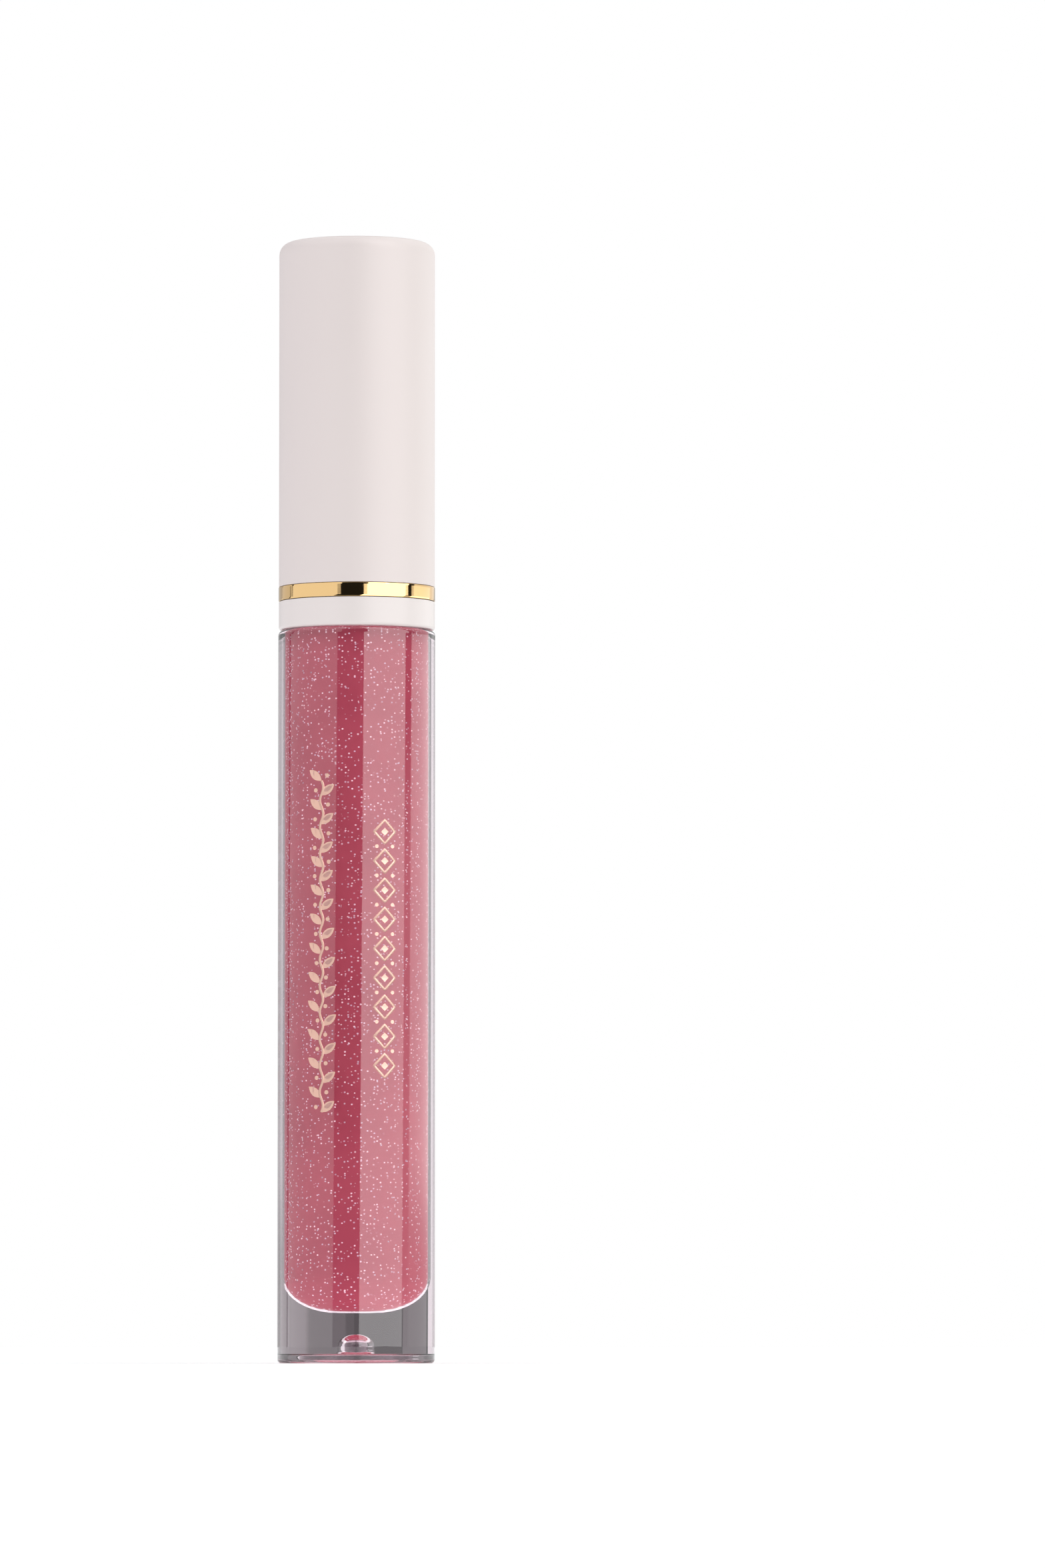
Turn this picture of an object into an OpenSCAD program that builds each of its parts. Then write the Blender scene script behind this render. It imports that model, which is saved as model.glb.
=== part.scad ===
// Lip gloss tube: a heavy-walled clear bottle, closed by a screw cap that carries the wand.
// Origin: centre of the foot. +Z runs up the axis, and the wand's slanting face looks to -Y.

/* [Bottle] */
// Outer diameter of the bottle
body_d = 16; // [15.8:0.1:20]
// Height from the foot to the shoulder under the cap
body_h = 74.5; // [66:0.5:100]
// Diameter of the cavity and of the neck's bore
cavity_d = 9.6; // [7.6:0.1:9.8]
// Thickness of the clear base under the cavity
base_t = 5.1; // [4:0.1:12]
// Radius where the cavity's wall runs into its floor
cavity_corner = 3.6; // [1:0.1:3.7]
// Radius of the shoulder's outer edge
shoulder_edge = 0.5; // [0.1:0.1:1]
// Radius of the foot's outer edge
foot_edge = 0.4; // [0.1:0.1:0.8]
// Diameter of the hollow under the foot
foot_recess_d = 11.6; // [4:0.1:14]
// Depth of the hollow under the foot
foot_recess_depth = 0.95; // [0.3:0.05:1.5]
// Diameter of the moulding gate's dimple
gate_d = 2.4; // [1:0.1:3.4]
// Depth of the gate's dimple above the hollow
gate_depth = 2; // [1.8:0.1:2.6]

/* [Neck and thread] */
// Height of the neck above the shoulder
neck_h = 13; // [11:0.1:18]
// Wall of the neck
neck_wall = 0.8; // [0.6:0.05:1]
// Radius of the neck's rim
neck_edge = 0.2; // [0.1:0.05:0.3]
// Height that one turn raises the cap
thread_pitch = 2.5; // [1.8:0.1:3]
// Turns from closed to free
thread_turns = 1.5; // [1:0.25:1.5]
// How far the thread stands out of the neck
thread_depth = 0.6; // [0.3:0.05:0.7]
// Width of the thread at its root
thread_root = 1.3; // [0.8:0.1:1.4]
// Width of the thread at its crest
thread_crest = 0.6; // [0.3:0.1:0.8]
// Height of the thread's lower end above the shoulder
thread_start = 4.4; // [3.6:0.1:5]
// Depth of the thread's groove in the cap
groove_depth = 0.5; // [0.3:0.05:0.6]

/* [Wiper] */
// Thickness of the flange that lies on the neck's rim
wiper_flange_h = 0.8; // [0.5:0.1:1.5]
// Length of the straight plug inside the neck
wiper_plug_h = 4; // [3:0.1:5]
// Length of the cone from the plug down to the wiping lip
wiper_cone_h = 4.6; // [3:0.1:5]
// Height of the wiping lip
wiper_lip_h = 0.6; // [0.3:0.1:1]
// Wall of the plug and of the cone
wiper_wall = 0.7; // [0.4:0.05:1]

/* [Cap] */
// Step from the bottle's side in to the cap's side
cap_step = 0.05; // [0:0.05:0.3]
// Height of the cap from its rim to its top
cap_h = 39.7; // [33:0.1:50]
// Wall of the outer cap's tube
cap_wall = 0.85; // [0.7:0.05:1.05]
// Thickness of the outer cap's closed end
cap_end_t = 1.4; // [1:0.1:3]
// Radius of the cap's top edge
cap_top_edge = 1.3; // [0.2:0.05:1.5]
// Radius of the cap's rim
cap_rim_edge = 0.3; // [0.1:0.1:0.8]
// Height of the collar below the gold band
collar_h = 2.9; // [2:0.1:4]
// Height of the gold band
band_h = 1.5; // [0.8:0.1:2.5]
// How far the gold band stands out of the cap
band_proud = 0.03; // [0:0.01:0.1]

/* [Inside the cap] */
// Thickness of the sealing gasket
gasket_h = 1; // [0.6:0.1:2]
// Thickness of the inner cap's ceiling
ceiling_h = 1.2; // [0.8:0.1:2]
// Wall of the socket that grips the stem
socket_wall = 1.3; // [0.9:0.1:1.8]
// Height of the socket and of its fins
socket_h = 12; // [8:0.5:14]
// Number of fins that centre the socket
fin_count = 6; // [3:1:8]
// Thickness of a fin
fin_t = 0.9; // [0.6:0.1:1.5]
// Gap between the fins and the outer cap
fin_gap = 0.2; // [0.1:0.05:0.5]

/* [Wand] */
// Diameter of the stem where it leaves the cap
stem_d = 4.4; // [4.1:0.1:5.3]
// Diameter of the stem at the tip
stem_tip_d = 4.1; // [3.4:0.1:4.3]
// Distance from the cap's rim to the end of the tip
wand_reach = 60.4; // [45:0.1:64]
// Thickness of the stem's flange under the ceiling
stem_flange_h = 1; // [0.6:0.1:1.5]
// How far the stem's shank ends below the socket's end
shank_short = 2; // [0.5:0.5:4]
// Radius of the shank's snap bead
bead_r = 0.25; // [0.15:0.05:0.4]
// Diameter of the peg that holds the tip in the stem
peg_d = 2.2; // [1.6:0.1:2.6]
// Length of that peg
peg_h = 5; // [3:0.5:8]
// Diameter of the tip's core
core_d = 3.5; // [2.8:0.1:4.2]
// Thickness of the flocking on the core
flock_t = 0.85; // [0.4:0.05:1.1]
// Length of the flocked tip
tip_h = 10.6; // [8:0.1:14]
// Radius of the flat on the tip's nose
nose_flat = 0.25; // [0.1:0.05:0.5]
// Radius of the flocking's edge beside the stem
flock_edge = 0.4; // [0.1:0.1:0.6]
// Angle between the slanting face and the wand's axis
face_angle = 27; // [15:1:45]
// How far past the axis the slanting face starts
face_start = 0.5; // [0:0.1:1]

/* [Fits] */
// Overlap of parts that are pressed together
press_bite = 0.02; // [0.01:0.01:0.05]
// Gap between faces that meet when the tube is closed
seat_gap = 0.05; // [0.02:0.01:0.1]
// Radial gap round what turns or slides
run_gap = 0.05; // [0.03:0.01:0.1]
// Gap between the gasket and the cap's bore
gasket_gap = 0.15; // [0.1:0.05:0.3]
// Gap between the two threads
thread_gap = 0.1; // [0.05:0.01:0.15]
// Film between the gloss and what it touches
film_gap = 0.02; // [0.01:0.01:0.05]
// Air between the gloss and the wiper
fill_gap = 0.5; // [0.2:0.1:3]

/* [Hidden] */
$fn = 96;

// How far a cutter runs past the face that it opens
past = 1;

// Bottle and neck
body_r = body_d / 2;
cavity_r = cavity_d / 2;
neck_r = cavity_r + neck_wall;
neck_top = body_h + neck_h;

// Thread: the ridge is sunk into the neck, so that it has no open edge
crest_r = neck_r + thread_depth;
thread_z = body_h + thread_start;
thread_rise = thread_pitch * thread_turns;
thread_sink = 0.2;
steps_per_turn = 36;
fade_angle = 40;
blunt_end = 0.08;

// Stack from the neck's rim up to the socket
flange_top = neck_top + wiper_flange_h;
gasket_z = flange_top + seat_gap;
stem_flange_z = gasket_z + gasket_h + seat_gap;
ceiling_z = stem_flange_z + stem_flange_h;
socket_z = ceiling_z + ceiling_h;
socket_top = socket_z + socket_h;

// Wiper, from the plug down
wiper_r = cavity_r + press_bite;
wiper_bore_r = cavity_r - wiper_wall;
plug_z = neck_top - wiper_plug_h;
lip_z = plug_z - wiper_cone_h;

// Cap
cap_r = body_r - cap_step;
rim_z = body_h + seat_gap;
collar_top = rim_z + collar_h;
shell_z = collar_top + band_h;
cap_top = rim_z + cap_h;
liner_r = cap_r - cap_wall;
cap_bore_r = crest_r + thread_gap;
gasket_r = cap_bore_r - gasket_gap;

// Wand
stem_r = stem_d / 2;
core_r = core_d / 2;
tip_r = core_r + flock_t;
tip_end = rim_z - wand_reach;
tip_top = tip_end + tip_h;
core_end = tip_end + flock_t;
core_face = face_start + flock_t * (1 - sin(face_angle)) / cos(face_angle);
shank_top = socket_top - shank_short;
bead_z = (socket_z + shank_top) / 2;
fill_top = lip_z - fill_gap;

// The lip runs on the tapered stem, so it takes the stem's radius at its own height
lip_share = (lip_z + wiper_lip_h - tip_top) / (stem_flange_z - tip_top);
lip_r = stem_tip_d / 2 + (stem_r - stem_tip_d / 2) * lip_share + run_gap;

// Rod on z = 0 with a rounded lower and upper edge
module rounded_rod(r, h, low_edge, top_edge) {
    rotate_extrude() difference() {
        square([r, h]);
        if (low_edge > 0)
            translate([r - low_edge, low_edge]) difference() {
                translate([0, -low_edge - past]) square(low_edge + past);
                circle(low_edge);
            }
        if (top_edge > 0)
            translate([r - top_edge, h - top_edge]) difference() {
                square(top_edge + past);
                circle(top_edge);
            }
    }
}

module tube(outer_r, inner_r, h) {
    difference() {
        cylinder(r = outer_r, h = h);
        translate([0, 0, -past]) cylinder(r = inner_r, h = h + 2 * past);
    }
}

// Four corners of the helical ridge at one angle, with the crest drawn in near both ends
function ridge_ring(angle, sweep, root_r, top_r, root_w, top_w) =
    let(
        fade = min(1, blunt_end + angle / fade_angle, blunt_end + (sweep - angle) / fade_angle),
        r = root_r + (top_r - root_r) * fade,
        z = thread_pitch * angle / 360
    )
    [
        [root_r * cos(angle), root_r * sin(angle), z - root_w / 2],
        [r * cos(angle), r * sin(angle), z - top_w / 2],
        [r * cos(angle), r * sin(angle), z + top_w / 2],
        [root_r * cos(angle), root_r * sin(angle), z + root_w / 2]
    ];

// Right-handed ridge that climbs from the X axis
module helical_ridge(turns, root_r, top_r, root_w, top_w) {
    sweep = 360 * turns;
    rings = round(steps_per_turn * turns);
    points = [
        for (i = [0:rings])
            each ridge_ring(sweep * i / rings, sweep, root_r, top_r, root_w, top_w)
    ];
    sides = [
        for (i = [0:rings - 1], k = [0:3])
            let(a = 4 * i, b = 4 * i + 4, next = (k + 1) % 4)
            each [[a + k, a + next, b + next], [a + k, b + next, b + k]]
    ];
    last = 4 * rings;
    ends = [[3, 2, 1], [3, 1, 0], [last, last + 1, last + 2], [last, last + 2, last + 3]];
    polyhedron(points = points, faces = concat(sides, ends), convexity = 6);
}

// Doe-foot of radius r and length h on z = 0, cut to a slanting face on its -Y side
module doe_foot(r, h, face_y, top_edge) {
    difference() {
        rounded_rod(r, h, r - nose_flat, top_edge);
        translate([0, face_y, 0]) rotate([face_angle, 0, 0])
            translate([-2 * r, -4 * r, -h]) cube([4 * r, 4 * r, 3 * h]);
    }
}

module bottle() {
    flank = (thread_root - thread_crest) / thread_depth;
    color([0.86, 0.85, 0.87, 0.4]) difference() {
        union() {
            rounded_rod(body_r, body_h, foot_edge, shoulder_edge);
            rounded_rod(neck_r, neck_top, 0, neck_edge);
            translate([0, 0, thread_z])
                helical_ridge(
                    thread_turns, neck_r - thread_sink, crest_r,
                    thread_root + thread_sink * flank, thread_crest
                );
        }
        translate([0, 0, base_t])
            rounded_rod(cavity_r, neck_top - base_t + past, min(cavity_corner, cavity_r - past), 0);
        translate([0, 0, -past]) cylinder(d = foot_recess_d, h = foot_recess_depth + past);
        gate_dimple();
    }
}

// Blind dimple with a ball end
module gate_dimple() {
    ball_z = foot_recess_depth + gate_depth - gate_d / 2;
    cylinder(d = gate_d, h = ball_z);
    translate([0, 0, ball_z]) sphere(d = gate_d);
}

// The gloss, with the channel that the wand turns in
module gloss_fill() {
    floor_z = base_t + film_gap;
    corner = min(cavity_corner, cavity_r - past) - film_gap;
    color([0.72, 0.30, 0.38]) difference() {
        translate([0, 0, floor_z])
            rounded_rod(cavity_r - film_gap, fill_top - floor_z, corner, 0);
        translate([0, 0, tip_end - film_gap])
            rounded_rod(tip_r + film_gap, tip_h + 2 * film_gap, tip_r - nose_flat, 0);
        translate([0, 0, tip_top]) cylinder(r = lip_r, h = fill_top - tip_top + past);
    }
}

// Soft plug whose lip wipes the stem
module wiper() {
    color([0.95, 0.94, 0.93]) rotate_extrude() polygon([
        [lip_r, lip_z],
        [lip_r + wiper_wall, lip_z],
        [wiper_r, plug_z],
        [wiper_r, neck_top],
        [neck_r, neck_top],
        [neck_r, flange_top],
        [wiper_bore_r, flange_top],
        [wiper_bore_r, plug_z],
        [lip_r, lip_z + wiper_lip_h]
    ]);
}

module gasket() {
    color([0.93, 0.93, 0.92]) translate([0, 0, gasket_z])
        tube(gasket_r, stem_r + gasket_gap, gasket_h);
}

module gold_band() {
    color([0.83, 0.62, 0.30]) translate([0, 0, collar_top + run_gap])
        tube(cap_r + band_proud, liner_r + run_gap, band_h - 2 * run_gap);
}

// Threaded liner: its collar shows below the gold band, and the outer cap hides the rest
module inner_cap() {
    color([0.93, 0.90, 0.89]) difference() {
        union() {
            translate([0, 0, rim_z]) rounded_rod(cap_r, collar_h, cap_rim_edge, 0);
            translate([0, 0, collar_top]) cylinder(r = liner_r, h = socket_z - collar_top);
            socket_and_fins();
        }
        translate([0, 0, rim_z - past]) cylinder(r = cap_bore_r, h = ceiling_z - rim_z + past);
        thread_groove();
        translate([0, 0, ceiling_z - past]) cylinder(r = stem_r, h = socket_top - ceiling_z + 2 * past);
        translate([0, 0, bead_z]) rotate_extrude() translate([stem_r, 0]) circle(bead_r);
    }
}

// Groove for the neck's thread, from where the thread rests down to the cap's rim
module thread_groove() {
    turns = 2 * thread_turns;
    top_w = thread_crest + 2 * thread_gap;
    flank = (thread_root - thread_crest) / thread_depth;
    translate([0, 0, thread_z - thread_rise]) rotate(-360 * thread_turns)
        helical_ridge(
            turns, cap_bore_r - thread_sink, cap_bore_r + groove_depth,
            top_w + (groove_depth + thread_sink) * flank, top_w
        );
}

module socket_and_fins() {
    fin_r = liner_r - fin_gap;
    translate([0, 0, socket_z]) cylinder(r = stem_r + socket_wall, h = socket_h);
    for (i = [0:fin_count - 1])
        rotate(360 / fin_count * i)
            translate([stem_r + press_bite, -fin_t / 2, socket_z])
                cube([fin_r - stem_r - press_bite, fin_t, socket_h]);
}

module outer_cap() {
    color([0.92, 0.89, 0.88]) difference() {
        translate([0, 0, shell_z]) rounded_rod(cap_r, cap_top - shell_z, 0, cap_top_edge);
        translate([0, 0, shell_z - past])
            cylinder(r = liner_r - press_bite, h = cap_top - cap_end_t - shell_z + past);
    }
}

// Tapered stem, with its flange, a beaded shank above it and a bore for the tip's peg
module stem() {
    color([0.95, 0.93, 0.94]) difference() {
        union() {
            translate([0, 0, tip_top])
                cylinder(d1 = stem_tip_d, d2 = stem_d, h = stem_flange_z - tip_top);
            translate([0, 0, stem_flange_z]) cylinder(r = gasket_r, h = stem_flange_h);
            translate([0, 0, stem_flange_z])
                cylinder(r = stem_r + press_bite, h = shank_top - stem_flange_z);
            translate([0, 0, bead_z]) rotate_extrude() translate([stem_r, 0])
                circle(bead_r - run_gap);
        }
        translate([0, 0, tip_top - past]) cylinder(d = peg_d, h = peg_h + seat_gap + past);
    }
}

// Moulded core of the tip, with the peg that is pressed into the stem
module tip_core() {
    color([0.90, 0.86, 0.86]) {
        translate([0, 0, core_end]) doe_foot(core_r, tip_top - core_end, core_face, 0);
        translate([0, 0, tip_top - press_bite])
            cylinder(r = peg_d / 2 + press_bite, h = peg_h + press_bite);
    }
}

// Coat of short nylon fibre round the core
module flocking() {
    color([0.70, 0.28, 0.36]) difference() {
        translate([0, 0, tip_end]) doe_foot(tip_r, tip_h, face_start, flock_edge);
        translate([0, 0, core_end]) doe_foot(core_r, tip_top - core_end + past, core_face, 0);
    }
}

bottle();
gloss_fill();
wiper();
gasket();
gold_band();
inner_cap();
outer_cap();
stem();
tip_core();
flocking();
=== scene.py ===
"""Lip gloss tube: clear bottle, pink shimmering gloss, ivory screw cap with a gold band, and the wand."""

import math

import bmesh
import bpy
from bpy.props import FloatProperty, FloatVectorProperty, IntProperty, PointerProperty
from bpy.types import Operator, Panel, PropertyGroup
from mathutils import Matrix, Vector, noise


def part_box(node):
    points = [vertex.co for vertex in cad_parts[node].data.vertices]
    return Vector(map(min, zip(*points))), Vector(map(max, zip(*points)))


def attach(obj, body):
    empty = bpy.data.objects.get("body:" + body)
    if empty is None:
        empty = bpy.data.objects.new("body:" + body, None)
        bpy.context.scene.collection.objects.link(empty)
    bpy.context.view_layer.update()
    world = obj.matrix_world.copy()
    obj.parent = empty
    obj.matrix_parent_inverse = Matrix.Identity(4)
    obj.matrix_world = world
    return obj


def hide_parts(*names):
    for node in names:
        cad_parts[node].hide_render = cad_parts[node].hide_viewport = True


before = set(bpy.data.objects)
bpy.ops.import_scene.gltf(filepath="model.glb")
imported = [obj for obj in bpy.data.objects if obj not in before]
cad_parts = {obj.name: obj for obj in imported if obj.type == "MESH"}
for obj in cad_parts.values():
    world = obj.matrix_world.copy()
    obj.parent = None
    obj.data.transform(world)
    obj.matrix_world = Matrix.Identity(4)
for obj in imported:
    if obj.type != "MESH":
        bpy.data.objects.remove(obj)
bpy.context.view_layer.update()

bl_info = {
    "name": "Lip Gloss Tube",
    "version": (1, 0, 0),
    "blender": (4, 5, 0),
    "location": "3D View > Sidebar > Gloss Tube",
    "description": "Builds a lip gloss tube round its packed frame: bottle, gloss, cap, wand and studio",
    "category": "Add Mesh",
}

MM = 0.001

# Where the frame puts things, in metres
BOTTLE_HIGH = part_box("bottle")[1]
GLOSS_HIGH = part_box("gloss_fill")[1]
LINER_LOW, LINER_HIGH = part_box("inner_cap")
SHELL_LOW, SHELL_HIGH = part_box("outer_cap")
BAND_LOW, BAND_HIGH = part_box("gold_band")
STEM_LOW, STEM_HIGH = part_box("stem")
FLOCK_LOW, FLOCK_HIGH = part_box("flocking")
CORE_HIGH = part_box("tip_core")[1]

# Turned pieces: smoothness round the axis, and the support rows that keep a rounded edge tight
SEGMENTS = 192
ARC_STEP = 9
SUPPORT = 0.15 * MM
SHARP_ANGLE = 30
THREAD_ROW = 0.1 * MM
MOST_TURNS = 4

# Each end of the thread rises over this share of a turn, from a blunt start that is a share of its depth
THREAD_FADE = 40 / 360
THREAD_BLUNT = 0.08

# Gaps between pieces
RUN_GAP = 0.05 * MM
FILM = 0.02 * MM

# The softboxes lean by this many degrees a degree of height, up to a height, and step round above another
LIGHT_LEAN = 1.5
LIGHT_LEAN_TO = 6.0
LIGHT_STEP = 4
LIGHT_STEP_AT = 4.5

# Camera and floor, in metres and degrees
LENS = 217.87
CAMERA_PLACE = (0.0169, -0.965, 0.002)
CAMERA_TILT = 93.374
FLOOR_HALF = 4.0


def linear(code):
    """An sRGB hex colour as linear red, green and blue."""
    parts = [int(code[i:i + 2], 16) / 255 for i in (0, 2, 4)]
    return [c / 12.92 if c <= 0.04045 else ((c + 0.055) / 1.055) ** 2.4 for c in parts]


def length(title, note, default, most=100 * MM):
    """A size in metres, with its name and its description."""
    return FloatProperty(
        name=title, description=note, default=default, min=0, max=most, unit="LENGTH", precision=5
    )


def turn(title, note, degrees):
    """An angle, from its degrees."""
    return FloatProperty(name=title, description=note, default=math.radians(degrees), subtype="ANGLE")


def colour(title, note, code):
    """A colour, from its sRGB hex value."""
    return FloatVectorProperty(
        name=title, description=note, default=linear(code), subtype="COLOR", size=3, min=0, max=1
    )


class GlossTubeBottle(PropertyGroup):
    """Sizes and tint of the clear bottle."""

    shoulder: length("Shoulder", "Height from the foot to the shoulder", LINER_LOW.z - RUN_GAP)
    cavity: length("Cavity radius", "Radius of the cavity and of the neck's bore", 4.8 * MM)
    base: length("Base", "Thickness of the clear base under the cavity", 5.1 * MM)
    corner: length("Cavity corner", "Radius where the cavity's wall meets its floor", 3.6 * MM)
    edge: length("Outer edges", "Radius of the foot's outer edge", 0.4 * MM)
    shoulder_edge: length("Shoulder edge", "Radius of the shoulder's outer edge", 0.5 * MM)
    recess: length("Recess radius", "Radius of the hollow under the foot", 5.8 * MM)
    recess_depth: length("Recess depth", "Depth of the hollow under the foot", 0.95 * MM)
    recess_edge: length("Recess edges", "Radius of the hollow's edges", 0.15 * MM)
    gate: length("Gate radius", "Radius of the moulding gate's dimple", 1.2 * MM)
    gate_depth: length("Gate depth", "Depth of the dimple above the hollow", 2 * MM)
    gate_flare: length("Gate flare", "Radius where the dimple runs out into the hollow", 0.3 * MM)
    neck_wall: length("Neck wall", "Wall of the neck", 0.8 * MM)
    neck_edge: length("Neck edge", "Radius of the neck's rim", 0.2 * MM)
    tint: colour("Tint", "Tint of the clear plastic", "F3E3EC")


class GlossTubeThread(PropertyGroup):
    """Sizes of the screw thread."""

    pitch: length("Pitch", "Height that one turn raises the cap", 2.5 * MM)
    turns: FloatProperty(name="Turns", description="Turns from closed to free", default=1.5, min=1, max=2)
    start: length("Start", "Height of the thread's lower end above the shoulder", 4.4 * MM)
    depth: length("Depth", "How far the thread stands out of the neck", 0.6 * MM)
    root: length("Root", "Width of the thread at its root", 1.3 * MM)
    crest: length("Crest", "Width of the thread at its crest", 0.6 * MM)
    gap: length("Gap", "Gap between the two threads", 0.1 * MM)
    room: length("Room", "Plain stretch that the neck keeps at each end of its thread", 0.5 * MM)
    cap_room: length("Cap room", "Plain stretch that the cap keeps at each end of its groove", 0.4 * MM)
    groove: length("Groove", "Depth of the thread's groove in the cap", 0.5 * MM)


class GlossTubeGloss(PropertyGroup):
    """Sizes and colours of the gloss."""

    sink: length("Sink", "How far the gloss is drawn into the wall, so that no air shows between", 0.03 * MM)
    meniscus: length("Meniscus", "How far the gloss climbs the wall at its top", 0.5 * MM)
    channel: length("Channel radius", "Radius of the channel that the stem keeps open", 2.25 * MM)
    headroom: length("Headroom", "Room above the tip for the rise of the unscrewed cap", 3.85 * MM)
    body: colour("Body", "Colour of the gloss", "C05B6B")
    depths: colour("Depths", "Colour of the gloss where its pearl lies thin", "B65263")
    flake: length("Flake", "Space that holds one shimmer flake", 0.28 * MM)
    oil: FloatProperty(
        name="Oil index", description="Refractive index of the gloss", default=1.515, min=1, max=2
    )
    wall: FloatProperty(
        name="Wall index", description="Refractive index of the bottle", default=1.57, min=1, max=2
    )


class GlossTubeCap(PropertyGroup):
    """Sizes and colours of the cap."""

    wall: length("Wall", "Wall of the outer cap's tube", 0.87 * MM)
    end: length("End", "Thickness of the outer cap's closed end", 1.4 * MM)
    top_edge: length("Top edge", "Radius of the cap's top edge", 1.3 * MM)
    rim_edge: length("Rim edge", "Radius of the cap's rim", 0.3 * MM)
    band_edge: length("Band edge", "Radius that breaks the gold band's edges", 0.03 * MM)
    break_edge: length("Broken edges", "Radius that breaks every other edge", 0.06 * MM)
    collar: length("Collar", "Height of the collar below the gold band", 2.9 * MM)
    ceiling: length("Ceiling", "Thickness of the inner cap's ceiling", 1.2 * MM)
    socket_wall: length("Socket wall", "Wall of the socket that grips the stem", 1.3 * MM)
    socket: length("Socket height", "Height of the socket and of its fins", 12 * MM)
    fins: IntProperty(name="Fins", description="Fins that centre the socket", default=6, min=3, max=8)
    fin_thickness: length("Fin thickness", "Thickness of a fin", 0.9 * MM)
    fin_root: length("Fin root", "How far a fin reaches into the socket's wall", 0.1 * MM)
    fin_gap: length("Fin gap", "Gap between the fins and the outer cap", 0.2 * MM)
    ivory: colour("Ivory", "Colour of the outer cap", "E3D7D5")
    collar_white: colour("Collar white", "Colour of the inner cap", "E8DEDC")
    gold: colour("Gold", "Colour of the gold band", "D3B17D")


class GlossTubeWand(PropertyGroup):
    """Sizes and colours of the stem and of its flocked tip."""

    stem: length("Stem radius", "Radius of the stem where it leaves the cap", 2.2 * MM)
    stem_tip: length("Stem tip radius", "Radius of the stem at the tip", 2.05 * MM)
    flange: length("Flange", "Thickness of the stem's flange", 1 * MM)
    bead: length("Bead", "Radius of the shank's snap bead", 0.2 * MM)
    peg: length("Peg radius", "Radius of the bore for the tip's peg", 1.1 * MM)
    voxel: length("Voxel", "Fineness of the flock's underlying skin", 0.11 * MM)
    pile: length("Pile", "Length of a flock fibre", 0.62 * MM)
    clump: length("Clump", "Width of the clumps that the wet fibres draw into", 0.5 * MM)
    clear: length("Clear", "Wall round the core that stays free of fibres", 0.15 * MM)
    bare: FloatProperty(
        name="Bare", description="The slanting face is bare below this Y of its normal", default=-0.72
    )
    fibre: length("Fibre", "Radius of a clump of wet fibres at its foot", 0.045 * MM)
    fibres: IntProperty(name="Fibres", description="Most fibres in a square metre", default=26000000)
    seed: IntProperty(name="Seed", description="Seed of the fibres' places", default=7)
    white: colour("Stem white", "Colour of the stem", "F6EFF2")
    flock: colour("Flock", "Colour of the flock, wet with gloss", "B8495F")


class GlossTubeFoil(PropertyGroup):
    """Sizes and colour of the stamped foil ornament."""

    thickness: length("Thickness", "How far the foil stands out of the bottle", 0.012 * MM)
    stroke: length("Stroke", "Width of the foil's lines", 0.26 * MM)
    sprig_low: length("Sprig foot", "Height of the leaf sprig's lower end", 25.3 * MM)
    sprig_length: length("Sprig length", "Length of the leaf sprig", 33.5 * MM)
    sprig_width: length("Sprig width", "Width of the leaf sprig", 3.1 * MM)
    sprig_angle: turn("Sprig angle", "Place round the barrel", -25.3)
    leaf_pairs: IntProperty(name="Leaves", description="Leaves along the sprig", default=25)
    chain_low: length("Chain foot", "Height of the lozenge chain's lower end", 28.5 * MM)
    chain_length: length("Chain length", "Length of the lozenge chain", 26.6 * MM)
    chain_width: length("Chain width", "Width of the lozenge chain", 2.5 * MM)
    chain_angle: turn("Chain angle", "Place round the barrel", 21.9)
    lozenges: IntProperty(name="Lozenges", description="Lozenges along the chain", default=9)
    gold: colour("Foil", "Colour of the foil", "DAB0A0")


class GlossTubeStudio(PropertyGroup):
    """Light and camera."""

    left: FloatProperty(name="Left softbox", description="Radiance of the left softbox", default=1.3)
    right: FloatProperty(name="Right softbox", description="Radiance of the right softbox", default=3.3)
    fill_left: colour("Left fill", "Colour of the soft light from the left", "C7C7CD")
    fill_right: colour("Right fill", "Colour of the soft light from the right", "F8FCF8")
    base: FloatProperty(name="Base", description="Radiance between the softboxes", default=0.02)
    fill: FloatProperty(name="Fill", description="Strength of the soft light", default=1.25)
    inside: FloatProperty(
        name="Inside", description="Share of the soft light inside the clear wall", default=1.9
    )
    floor: colour("Floor", "Colour of the floor", "FEFEFE")


SETTINGS = {
    "gloss_tube_bottle": GlossTubeBottle,
    "gloss_tube_thread": GlossTubeThread,
    "gloss_tube_gloss": GlossTubeGloss,
    "gloss_tube_cap": GlossTubeCap,
    "gloss_tube_wand": GlossTubeWand,
    "gloss_tube_foil": GlossTubeFoil,
    "gloss_tube_studio": GlossTubeStudio,
}


def add(tree, kind, *inputs, **settings):
    """Adds a node. kind is its type, without ShaderNode where it is a shader node, and with its operation
    after a colon. inputs are in order, or a dict by name or place: each a socket, a node, a plain value, or a
    list of nodes where the input takes several."""
    kind, _, operation = kind.partition(":")
    node = tree.nodes.new(kind if "Node" in kind else "ShaderNode" + kind)
    if operation:
        node.operation = operation
    for name, value in settings.items():
        setattr(node, name, value)
    named = inputs[0] if inputs and isinstance(inputs[0], dict) else dict(enumerate(inputs))
    for key, value in named.items():
        for one in value if isinstance(value, list) else [value]:
            if isinstance(one, bpy.types.Node):
                one = one.outputs[0]
            if isinstance(one, bpy.types.NodeSocket):
                tree.links.new(one, node.inputs[key])
            else:
                node.inputs[key].default_value = one
    return node


def clamped(value):
    """The value held between 0 and 1."""
    return min(1, max(0, value))


def rgba(values):
    """Red, green and blue with an opaque alpha."""
    return (values[0], values[1], values[2], 1)


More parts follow.
